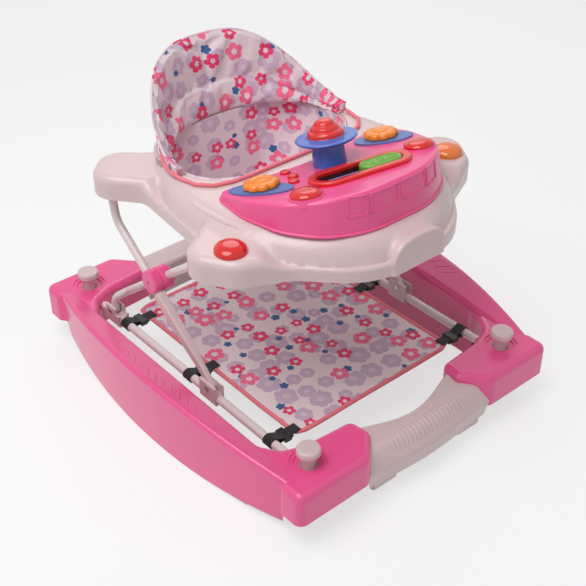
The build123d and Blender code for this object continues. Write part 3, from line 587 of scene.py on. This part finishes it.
def settle(obj, pins, pressure, slack, limit, frames=20):
    """Lets the free part of a padded cover swell between its held seams."""
    rest = [v.co.copy() for v in obj.data.vertices]
    group = obj.vertex_groups.new(name="held")
    group.add(pins, 1.0, "REPLACE")
    cloth = obj.modifiers.new("cloth", "CLOTH")
    cloth.settings.quality = 6
    cloth.settings.mass = 0.15
    cloth.settings.tension_stiffness = 12
    cloth.settings.compression_stiffness = 12
    cloth.settings.shear_stiffness = 4
    cloth.settings.bending_stiffness = 0.25
    cloth.settings.vertex_group_mass = "held"
    cloth.settings.use_pressure = True
    cloth.settings.uniform_pressure_force = pressure
    cloth.settings.shrink_min = slack
    cloth.settings.effector_weights.gravity = 0.0
    cloth.collision_settings.use_collision = False
    cloth.point_cache.frame_start = 1
    cloth.point_cache.frame_end = frames
    for f in range(1, frames + 1):
        scene.frame_set(f)
    freeze(obj)
    scene.frame_set(1)
    for v, start in zip(obj.data.vertices, rest):
        step = v.co - start
        if step.length > limit:
            v.co = start + step.normalized() * limit
    obj.vertex_groups.clear()
    obj.data.shade_smooth()


columns = 141
inner_rows = 40
outer_rows = 12
verts = []
uvs = []
held = []
rows = inner_rows + outer_rows
for i in range(rows):
    for j in range(columns):
        angle = math.pi * (j / (columns - 1) - 0.5)
        top = back_top(angle)
        across = angle * 190 * mm
        if i < inner_rows:
            level = i / (inner_rows - 1)
            share = level * top
            seam = back_seam(angle) * top
            lower = puff(share, 0, seam)
            upper = puff(share, seam, top * 1.02)
            middle = 1 - 0.75 * math.exp(-((angle / 0.05) ** 2)) if share > seam else 1
            wing = 1 - 0.6 * math.exp(-(((abs(angle) - wing_crease) / 0.06) ** 2))
            depth = 5 + (12 * lower + 9 * upper * middle) * wing
            if level > 0.96:
                depth = 3
            p = Vector(back_point(angle, share, depth))
            near_seam = abs(share - seam) < 0.55 * top / inner_rows
            upright = abs(angle) < 0.012 and share > seam
            crease = abs(abs(angle) - wing_crease) < 0.012
            if i < 2 or i > inner_rows - 3 or j < 2 or j > columns - 3 or near_seam or upright or crease:
                held.append(i * columns + j)
            uvs.append((across, share * 150 * mm))
        else:
            level = (i - inner_rows) / (outer_rows - 1)
            share = (1 - level) * top
            p = Vector(back_point(angle, share, -1.5 + 2.5 * abs(level - 0.5)))
            held.append(i * columns + j)
            uvs.append((across, (0.32 - share * 0.15)))
        verts.append(p * mm)
faces = grid_faces(rows, columns, False, True)
ends = [tuple(i * columns for i in range(rows)), tuple(i * columns + columns - 1 for i in range(rows))]
backrest = mesh_object("backrest_cover", verts, faces + ends, seat_print, uvs)
outward(backrest)
settle(backrest, held, 3.0, -0.05, 0.014)
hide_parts("seat_backrest")
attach(backrest, "tray")


# Seat sling, from (width, length, corner, middle, height) at each level, with a sewn bottom panel
sling_levels = [
    (339, 207, 84, 92, 446),
    (310, 184, 72, 92, 390),
    (250, 150, 60, 98, 320),
    (196, 116, 50, 98, 288),
    (150, 90, 40, 98, 276.5),
    (70, 40, 19, 98, 276),
]
around = 144
verts = []
girths = []
rises = []
rings = 40
bottom_ring = 23
sling_wall = 0.0035
for i in range(rings):
    place = (len(sling_levels) - 1) * i / (rings - 1)
    k = min(int(place), len(sling_levels) - 2)
    share = place - k
    now = [a + (b - a) * share for a, b in zip(sling_levels[k], sling_levels[k + 1])]
    ring = rounded_rect(now[0], now[1], now[2], around)
    for j, (x, y) in enumerate(ring):
        p = Vector((x, y + now[3], now[4]))
        ripple = noise.noise(Vector((x * 0.02, y * 0.02, now[4] * 0.008))) * 3.0 * min(1, i / 4)
        drawn = 1 - ripple / max(now[0], 1)
        verts.append(Vector((p.x * drawn, now[3] + y * drawn, p.z)) * mm)
    girths.append((2 * (now[0] + now[1]) - (8 - 2 * math.pi) * now[2]) * mm)
    rises.append(now[4] * mm - 0.02 * place)


def wall_uv(row, column):
    return (girths[row] * column / around, rises[row])


def bottom_uv(row, column):
    p = verts[row * around + column % around]
    return (p.x + 0.5, p.y + 0.3)


corners = []
for i in range(rings - 1):
    for j in range(around):
        start = j if j < around // 2 else j - around
        spots = ((i, start), (i, start + 1), (i + 1, start + 1), (i + 1, start))
        panel_uv = wall_uv if i < bottom_ring else bottom_uv
        corners.append([panel_uv(*spot) for spot in spots])
corners.append([bottom_uv(rings - 1, j) for j in range(around)])
faces = grid_faces(rings, around, True)
faces.append(tuple((rings - 1) * around + j for j in range(around)))
sling = mesh_object("seat_sling_cover", verts, faces, seat_print)
corner_uvs(sling, corners)
outward(sling)
thick = sling.modifiers.new("thick", "SOLIDIFY")
thick.thickness = sling_wall
thick.offset = -1
freeze(sling)
leg_hole_radius, leg_hole_x, leg_hole_z = 0.042, 0.066, 0.342
for x in (-leg_hole_x, leg_hole_x):
    bpy.ops.mesh.primitive_cylinder_add(
        vertices=64,
        radius=leg_hole_radius,
        depth=0.3,
        location=(x, -0.06, leg_hole_z),
        rotation=(math.pi / 2, 0, 0),
    )
    cutter = bpy.context.object
    cut = sling.modifiers.new("leg_hole", "BOOLEAN")
    cut.operation = "DIFFERENCE"
    cut.solver = "EXACT"
    cut.object = cutter
    freeze(sling)
    bpy.data.objects.remove(cutter)
sling.data.shade_smooth()
sling.data.set_sharp_from_angle(angle=math.radians(60))
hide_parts("seat_sling")
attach(sling, "tray")

# Piping round the seat
piping_z = 449.5
path = []
for k in range(61):
    angle = math.pi * (k / 60 - 0.5)
    x, y, _ = back_point(angle, 0.02, -3.5)
    path.append(Vector((x, y, piping_z)) * mm)
front = [(186, 40), (180, 14), (160, -7), (128, -17), (90, -19), (40, -19), (0, -19)]
front = front + [(-x, y) for x, y in reversed(front[:-1])]
for x, y in front:
    path.append(Vector((x, y, piping_z)) * mm)
piping = tube("seat_piping", path, 0.0034, salmon, closed=True, sides=10)
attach(piping, "tray")
path = []
for k in range(81):
    angle = math.pi * (k / 80 - 0.5)
    path.append(Vector(back_point(angle, back_top(angle), 0.5)) * mm)
edge = tube("backrest_edge", path, 0.0022, seat_print, sides=8)
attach(edge, "tray")

# Foot mat
mat_w, mat_front, mat_rear = 183.0, -240.0, 222.0
mat_z, mat_sag, mat_puff, mat_ripple = 85.6, 3.2, 2.0, 1.3
nx, ny = 74, 92
verts = []
uvs = []
held = []
for layer in (0, 1):
    for i in range(ny):
        for j in range(nx):
            u = 2 * j / (nx - 1) - 1
            w = 2 * i / (ny - 1) - 1
            x = mat_w * u
            y = (mat_front + mat_rear) / 2 + (mat_rear - mat_front) / 2 * w
            corner = max(abs(u) - 0.9, 0) * max(abs(w) - 0.92, 0) * 3000
            x = x * (1 - 0.012 * corner / 24)
            y = y - math.copysign(corner * 0.25, w)
            edge_in = min(1 - abs(u), 1 - abs(w))
            swell = min(edge_in * 9, 1) ** 0.6
            sag = -mat_sag * (1 - u * u) * (1 - w * w)
            wave = mat_ripple * noise.noise(Vector((x * 0.011, y * 0.011, 0)))
            z = mat_z + sag + wave + (mat_puff * swell if layer else -mat_puff * swell)
            verts.append(Vector((x, y, z)) * mm)
            uvs.append((x * mm + 2.13, y * mm + 1.37))
count = nx * ny
faces = [tuple(reversed(f)) for f in grid_faces(ny, nx)]
faces += [tuple(v + count for v in f) for f in grid_faces(ny, nx)]
rim = [j for j in range(nx)] + [i * nx + nx - 1 for i in range(1, ny)]
rim += [(ny - 1) * nx + j for j in range(nx - 2, -1, -1)] + [i * nx for i in range(ny - 2, 0, -1)]
for a, b in zip(rim, rim[1:] + rim[:1]):
    faces.append((a, b, b + count, a + count))
mat = mesh_object("foot_mat_cover", verts, faces, mat_print_shade_offset, uvs)
outward(mat)
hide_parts("foot_mat")
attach(mat, "base")
binding_path = [(verts[a] + verts[a + count]) / 2 for a in rim]
binding = tube("mat_binding", binding_path, 0.0042, salmon, closed=True, sides=10, flat=0.8)
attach(binding, "base")


# Mat straps
def ribbon(name, path, y, width, thickness, material):
    verts = []
    uvs = []
    run = 0.0
    for i, (x, z) in enumerate(path):
        a = path[max(i - 1, 0)]
        b = path[min(i + 1, len(path) - 1)]
        flow = Vector((b[0] - a[0], b[1] - a[1])).normalized()
        side = Vector((-flow.y, flow.x)) * thickness / 2
        if i:
            run += math.dist(path[i - 1], path[i]) * mm
        for sx, sy in ((1, -1), (1, 1), (-1, 1), (-1, -1)):
            verts.append(Vector((x + side.x * sx, y + sy * width / 2, z + side.y * sx)) * mm)
            uvs.append((run, (y + sy * width / 2) * mm))
    faces = grid_faces(len(path), 4, True)
    faces += [(0, 1, 2, 3), tuple(range(4 * len(path) - 4, 4 * len(path)))]
    obj = mesh_object(name, verts, faces, material, uvs, False)
    outward(obj)
    return obj


def strap_path(side):
    path = [(172, 89.6), (186, 89.2), (200, 90.0), (212, 92.6)]
    for k in range(17):
        turn = math.radians(118 - 236 * k / 16)
        path.append((230 + 9.2 * math.cos(turn), 91 + 9.2 * math.sin(turn)))
    path += [(212, 87.4), (200, 85.6), (188, 84.2)]
    return [(side * x, z) for x, z in path]


strap_width, strap_thickness = 20, 1.5
strap_rows = (190, -7, -228)
straps = []
for side in (-1, 1):
    for y in strap_rows:
        straps.append(ribbon("mat_strap", strap_path(side), y, strap_width, strap_thickness, webbing))
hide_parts("mat_straps")
for strap in straps:
    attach(strap, "base")


# Moulded detail that repeats, set out with Geometry Nodes
def rounded_bar(name, length, width, height):
    """A small bar with rounded ends and top, lying along X on z = 0."""
    verts = []
    sides = 8
    sunk = 0.0004
    stations = [-0.5, -0.49, -0.46, -0.4, 0.4, 0.46, 0.49, 0.5]
    grow = [0.0, 0.45, 0.8, 1.0, 1.0, 0.8, 0.45, 0.0]
    for s, g in zip(stations, grow):
        for k in range(sides):
            turn = math.pi * k / (sides - 1)
            across = -math.cos(turn) * width / 2
            verts.append((s * length, across * g, math.sin(turn) * height * g - sunk))
    faces = grid_faces(len(stations), sides, True)
    obj = mesh_object(name, verts, faces, pink)
    outward(obj)
    scene.collection.objects.unlink(obj)
    return obj


def repeat_tree(name):
    tree = bpy.data.node_groups.new(name, "GeometryNodeTree")
    tree.interface.new_socket("Geometry", in_out="INPUT", socket_type="NodeSocketGeometry")
    tree.interface.new_socket("Shape", in_out="INPUT", socket_type="NodeSocketObject")
    tree.interface.new_socket("Finish", in_out="INPUT", socket_type="NodeSocketMaterial")
    tree.interface.new_socket("Geometry", in_out="OUTPUT", socket_type="NodeSocketGeometry")
    enter = tree.nodes.new("NodeGroupInput")
    leave = tree.nodes.new("NodeGroupOutput")
    points = tree.nodes.new("GeometryNodeMeshToPoints")
    shape = tree.nodes.new("GeometryNodeObjectInfo")
    place = tree.nodes.new("GeometryNodeInstanceOnPoints")
    real = tree.nodes.new("GeometryNodeRealizeInstances")
    paint = tree.nodes.new("GeometryNodeSetMaterial")
    turn = tree.nodes.new("FunctionNodeAxesToRotation")
    turn.primary_axis = "Z"
    turn.secondary_axis = "X"
    for label, socket in (("up", 0), ("run", 1)):
        read = tree.nodes.new("GeometryNodeInputNamedAttribute")
        read.data_type = "FLOAT_VECTOR"
        read.inputs["Name"].default_value = label
        tree.links.new(read.outputs[0], turn.inputs[socket])
    tree.links.new(enter.outputs["Geometry"], points.inputs["Mesh"])
    tree.links.new(enter.outputs["Shape"], shape.inputs["Object"])
    tree.links.new(points.outputs["Points"], place.inputs["Points"])
    tree.links.new(shape.outputs["Geometry"], place.inputs["Instance"])
    tree.links.new(turn.outputs[0], place.inputs["Rotation"])
    tree.links.new(place.outputs["Instances"], real.inputs["Geometry"])
    tree.links.new(real.outputs["Geometry"], paint.inputs["Geometry"])
    tree.links.new(enter.outputs["Finish"], paint.inputs["Material"])
    tree.links.new(paint.outputs["Geometry"], leave.inputs["Geometry"])
    return tree


repeat = repeat_tree("repeat_on_points")


def repeated(name, spots, shape, material, body):
    """Copies of shape at spots of (place, up, run), as one mesh."""
    mesh = bpy.data.meshes.new(name)
    mesh.from_pydata([s[0] for s in spots], [], [])
    for k, label in ((1, "up"), (2, "run")):
        data = mesh.attributes.new(label, "FLOAT_VECTOR", "POINT").data
        for i, s in enumerate(spots):
            data[i].vector = s[k]
    obj = bpy.data.objects.new(name, mesh)
    scene.collection.objects.link(obj)
    modifier = obj.modifiers.new("repeat", "NODES")
    modifier.node_group = repeat
    names = {item.name: item.identifier for item in repeat.interface.items_tree if item.in_out == "INPUT"}
    modifier[names["Shape"]] = shape
    modifier[names["Finish"]] = material
    bpy.context.view_layer.update()
    freeze(obj)
    obj.data.shade_smooth()
    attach(obj, body)
    return obj


bar = rounded_bar("tread_bar", 0.030, 0.0042, 0.0012)
tread_count, tread_pitch, tread_inset = 13, 21.0, 24
rail_end_x, rail_bulge, rail_half = 286, 49, 344
for side, node in ((-1, "rail_left"), (1, "rail_right")):
    tree = surface(node)
    spots = []
    for k in range(tread_count):
        y = (k - tread_count // 2) * tread_pitch
        x = rail_end_x + rail_bulge * (1 - (y / rail_half) ** 2) - tread_inset
        hit, normal, _, _ = tree.ray_cast(Vector((side * x, y, 260)) * mm, Vector((0, 0, -1)))
        run = Vector((side * 0.62, -0.78, 0))
        run = (run - normal * run.dot(normal)).normalized()
        spots.append((hit, normal, run))
    repeated(f"{node}_treads", spots, bar, pink, "base")

# Grip ridges across the front cross member
beam_y, beam_z = -357, 62
ridge_count, ridge_pitch, ridge_height, ridge_sunk = 19, 9.0, 2.2, 0.4
ridge_turn, ridge_reach = 106, 44
ridge_section = ((-3.1, -0.4), (-2.0, 0.7), (0, 1.0), (2.0, 0.7), (3.1, -0.4))
ridge_steps = 24
tree = surface("front_cross_member")
verts = []
faces = []
for k in range(ridge_count):
    place = k - ridge_count // 2
    x = place * ridge_pitch
    reach = ridge_reach * math.sqrt(1 - place**2 / 96)
    line = []
    for step in range(ridge_steps + 1):
        turn = math.radians(ridge_turn - reach + 2 * reach * step / ridge_steps)
        aim = Vector((0, math.cos(turn), math.sin(turn)))
        middle = Vector((x, beam_y, beam_z)) * mm
        hit, normal, _, _ = tree.ray_cast(middle + aim * 0.2, -aim)
        fade = min(step, ridge_steps - step, 4) / 4
        line.append((hit, normal, fade))
    first = len(verts)
    wide = len(ridge_section)
    for hit, normal, fade in line:
        for across, lift in ridge_section:
            rise = lift * ridge_height * fade - ridge_sunk
            verts.append(hit + Vector((across * mm, 0, 0)) + normal * rise * mm)
    last = first + wide * (len(line) - 1)
    faces += [tuple(first + v for v in f) for f in grid_faces(len(line), wide, True)]
    faces += [tuple(range(first, first + wide)), tuple(range(last, last + wide))]
ridges = mesh_object("front_grip_ridges", verts, faces, cream)
outward(ridges)
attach(ridges, "base")

# Lip round the foot of the console, and framed panels on its front
console_middle = Vector((0, -150))
lip_z, lip_radius = 448.4, 0.0028
console_edge = outline_of("console", console_middle, 449.0, 240)
lip_line = [Vector((p.x, p.y, lip_z)) * mm for p in console_edge]
lip = tube("console_lip", lip_line, lip_radius, pink, closed=True, sides=10)
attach(lip, "tray")
tree = surface("console")
panel_foot, panel_height, panel_slant = 477, 30, 2.5
panel_spans = ((-92, -62), (-56, -3), (3, 56), (62, 92))


def skirt(x, share):
    """A point just off the console's front skirt."""
    start = Vector((x, -0.5 / mm, panel_foot + panel_height * share)) * mm
    hit, normal, _, _ = tree.ray_cast(start, Vector((0, 1, 0)))
    return hit + normal * 0.0002


for low, high in panel_spans:
    slant = panel_slant if low < 0 else -panel_slant
    corners = [(low - slant, 0.0), (low, 1.0), (high, 1.0), (high - slant, 0.0)]
    line = []
    for (x0, s0), (x1, s1) in zip(corners, corners[1:] + corners[:1]):
        for step in range(10):
            w = step / 10
            line.append(skirt(x0 + (x1 - x0) * w, s0 + (s1 - s0) * w))
    panel = tube("console_panel", line, 0.0015, pink, closed=True, sides=8)
    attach(panel, "tray")


# Toys turned on the tilted console deck
tilt = math.radians(14.0)
deck_frame = Matrix(
    (
        (1, 0, 0, 0),
        (0, math.cos(tilt), math.sin(tilt), -0.096),
        (0, -math.sin(tilt), math.cos(tilt), 0.472),
        (0, 0, 0, 1),
    )
)


def lathe(name, profile, place, material, body, node, sides=64, lobes=0, depth=0.0):
    """A turned piece with a curve through (radius, height) points in mm, and petals round it if asked."""
    fine = []
    for i in range(len(profile) - 1):
        p0 = profile[max(i - 1, 0)]
        p1, p2 = profile[i], profile[i + 1]
        p3 = profile[min(i + 2, len(profile) - 1)]
        for k in range(4):
            t = k / 4
            point = []
            for c in (0, 1):
                m1 = (p2[c] - p0[c]) / 2 * 0.75
                m2 = (p3[c] - p1[c]) / 2 * 0.75
                h = (2 * t**3 - 3 * t**2 + 1) * p1[c] + (t**3 - 2 * t**2 + t) * m1
                point.append(h + (-2 * t**3 + 3 * t**2) * p2[c] + (t**3 - t**2) * m2)
            fine.append((max(point[0], 0.01), point[1]))
    fine.append((max(profile[-1][0], 0.01), profile[-1][1]))
    verts = []
    widest = max(r for r, _ in fine)
    for r, z in fine:
        for j in range(sides):
            turn = 2 * math.pi * j / sides
            petal = abs(math.cos(lobes * turn / 2)) ** 0.7 - 0.6
            out = r * (1 + depth * petal * (r / widest) ** 2) if lobes else r
            verts.append(place @ (Vector((out * math.cos(turn), out * math.sin(turn), z)) * mm))
    faces = grid_faces(len(fine), sides, True)
    faces += [tuple(range(sides)), tuple(range((len(fine) - 1) * sides, len(fine) * sides))]
    obj = mesh_object(name, verts, faces, material)
    outward(obj)
    if node:
        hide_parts(node)
    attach(obj, body)
    return obj


def on_deck(u, v):
    return deck_frame @ Matrix.Translation((u * mm, v * mm, 0))


dish_profile = [(4.1, 36.4), (24, 36.4), (27, 37), (44, 38.6), (49.6, 41.6), (51, 44)]
dish_profile += [(49.4, 46), (43, 46.2), (33, 46.4), (30.6, 47.8), (4.1, 48)]
cap_profile = [(4.1, 48), (29.4, 48), (30, 49), (29.9, 53), (27.6, 56.4), (24.8, 57.2), (24, 58.4)]
cap_profile += [(22.6, 62.6), (19, 65.2), (17.4, 66.4), (15.4, 70.4), (10, 73.6), (4, 74.8), (0, 75)]
flower_profile = [(3, -5.4), (3, 2.6), (3.1, 2.9), (25, 2.9), (27.5, 4), (28, 6), (27.4, 10)]
flower_profile += [(24.8, 12.8), (20, 14), (15.5, 13), (13.2, 12.2), (11.4, 13.4), (8, 15.2), (0, 15.8)]
dome_profile = [(0, -11), (24.8, -11), (25, -10.6), (25, 4.4), (24.2, 6.8)]
dome_profile += [(21, 9.6), (15.5, 11.8), (9, 12.6), (0, 12.8)]
lamp_profile = [(0, 426.7), (25.8, 426.7), (26, 427), (26, 431), (24.8, 434.6)]
lamp_profile += [(20.6, 438.6), (13, 441.6), (5, 442.6), (0, 442.7)]
key_profile = [(0, -8.5), (9.6, -8.5), (9.6, -6.5), (9, -6.4), (9, 2), (8.5, 3.6), (6.5, 4.6), (0, 5)]
key_spots = ((-67, 21), (-73, -6), (-88, -26))
flower_petals, petal_depth = 9, 0.16
lamp_x, lamp_y = 0.238, -0.150

spinner_place = on_deck(0, -13)
lathe("spinner_dish_shell", dish_profile, spinner_place, blue, "spinner", "spinner_dish")
lathe("spinner_cap_shell", cap_profile, spinner_place, red, "spinner", "spinner_cap")
for side, hand in ((-1, "left"), (1, "right")):
    flower, dome = f"flower_{hand}", f"dome_{hand}"
    flower_place, dome_place = on_deck(side * 130, 3), on_deck(side * 121, -95)
    lathe(
        f"{flower}_shell",
        flower_profile,
        flower_place,
        orange,
        flower,
        flower,
        144,
        flower_petals,
        petal_depth,
    )
    lathe(f"{dome}_shell", dome_profile, dome_place, red_clear, dome, f"dome_button_{hand}")
    lamp_place = Matrix.Translation((side * lamp_x, lamp_y, 0))
    lens_finish = red_clear if side < 0 else amber_clear
    lens = lathe(f"lamp_{hand}_shell", lamp_profile, lamp_place, lens_finish, "tray", None)
    if side < 0:
        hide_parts("lamp_lenses")
for number, (u, v) in enumerate(key_spots, 1):
    key = f"key_{number}"
    lathe(f"{key}_shell", key_profile, on_deck(u, v), red, key, key, 40)

# Relief on the slider, and the rod that it runs on
bezel_frame = on_deck(-1, -86) @ Matrix.Rotation(math.radians(-14), 4, "Z")


def bezel_point(u, v, height):
    return bezel_frame @ Vector((u * mm, v * mm, height * mm))


def stadium_line(middle, length, width, height, count=48):
    """Points round a stadium that lies on the console's bezel."""
    straight = length / 2 - width / 2
    line = []
    for k in range(count):
        turn = 2 * math.pi * k / count
        end = math.copysign(straight, math.cos(turn))
        u = middle + end + width / 2 * math.cos(turn)
        line.append(bezel_point(u, width / 2 * math.sin(turn), height))
    return line


slider_middle, slider_top = 37.0, 7.9
slider_rim = stadium_line(slider_middle, 60, 24, slider_top)
relief = [tube("slider_rim", slider_rim, 0.0014, green, closed=True, sides=8)]
for shift in (-19, 0, 19):
    ring = stadium_line(slider_middle + shift, 11, 11, slider_top, 24)
    relief.append(tube("slider_ring", ring, 0.0013, green, closed=True, sides=8))
for piece in relief:
    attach(piece, "slider")
rod = tube("slider_rod", [bezel_point(u, 0, -3) for u in (-74, -37, 0)], 0.0027, slate, sides=16)
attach(rod, "tray")


# Camera, light and floor
azimuth = math.radians(-40.68)
elevation = math.radians(35.54)
level = math.cos(elevation)
back = Vector((math.sin(azimuth) * level, -math.cos(azimuth) * level, math.sin(elevation)))
sensor, focal_pixels, picture_pixels = 36.0, 1087.7, 586.0
camera = bpy.data.objects.new("camera", bpy.data.cameras.new("camera"))
camera.location = (-1.0556, -1.2446, 1.32465)
camera.rotation_euler = (-back).to_track_quat("-Z", "Y").to_euler()
camera.data.sensor_width = sensor
camera.data.lens = sensor * focal_pixels / picture_pixels
camera.data.clip_start = 0.05
scene.collection.objects.link(camera)
scene.camera = camera
scene.view_settings.view_transform = "Standard"

world = bpy.data.worlds.new("studio")
scene.world = world
world.use_nodes = True
room_light, room_white = 0.4, 0.85
room = world.node_tree
sky = room.nodes["Background"]
sky.inputs["Color"].default_value = (1.0, 1.0, 1.0, 1.0)
sky_rise = maths(room, "MULTIPLY", seen_directly(room), room_white - room_light)
room.links.new(maths(room, "ADD", sky_rise, room_light), sky.inputs["Strength"])


def area_light(name, location, target, size, power):
    light = bpy.data.lights.new(name, "AREA")
    light.shape = "DISK"
    light.size = size
    light.energy = power
    obj = bpy.data.objects.new(name, light)
    obj.location = location
    obj.rotation_euler = (Vector(target) - Vector(location)).to_track_quat("-Z", "Y").to_euler()
    scene.collection.objects.link(obj)


area_light("key", (-1.1, -0.1, 2.4), (0, 0, 0.25), 1.8, 36.0)
area_light("fill", (1.8, -1.6, 1.4), (0, 0, 0.3), 1.8, 1.0)
area_light("rim", (1.1, 1.4, 2.0), (0, 0, 0.35), 1.4, 8.0)

reach = 6.0
floor_corners = [(-reach, -reach, 0), (reach, -reach, 0), (reach, reach, 0), (-reach, reach, 0)]
floor = mesh_object("floor", floor_corners, [(0, 1, 2, 3)], studio_white("floor", (246, 246, 246), 0.65))
floor.location = (0, 0, -0.0005)
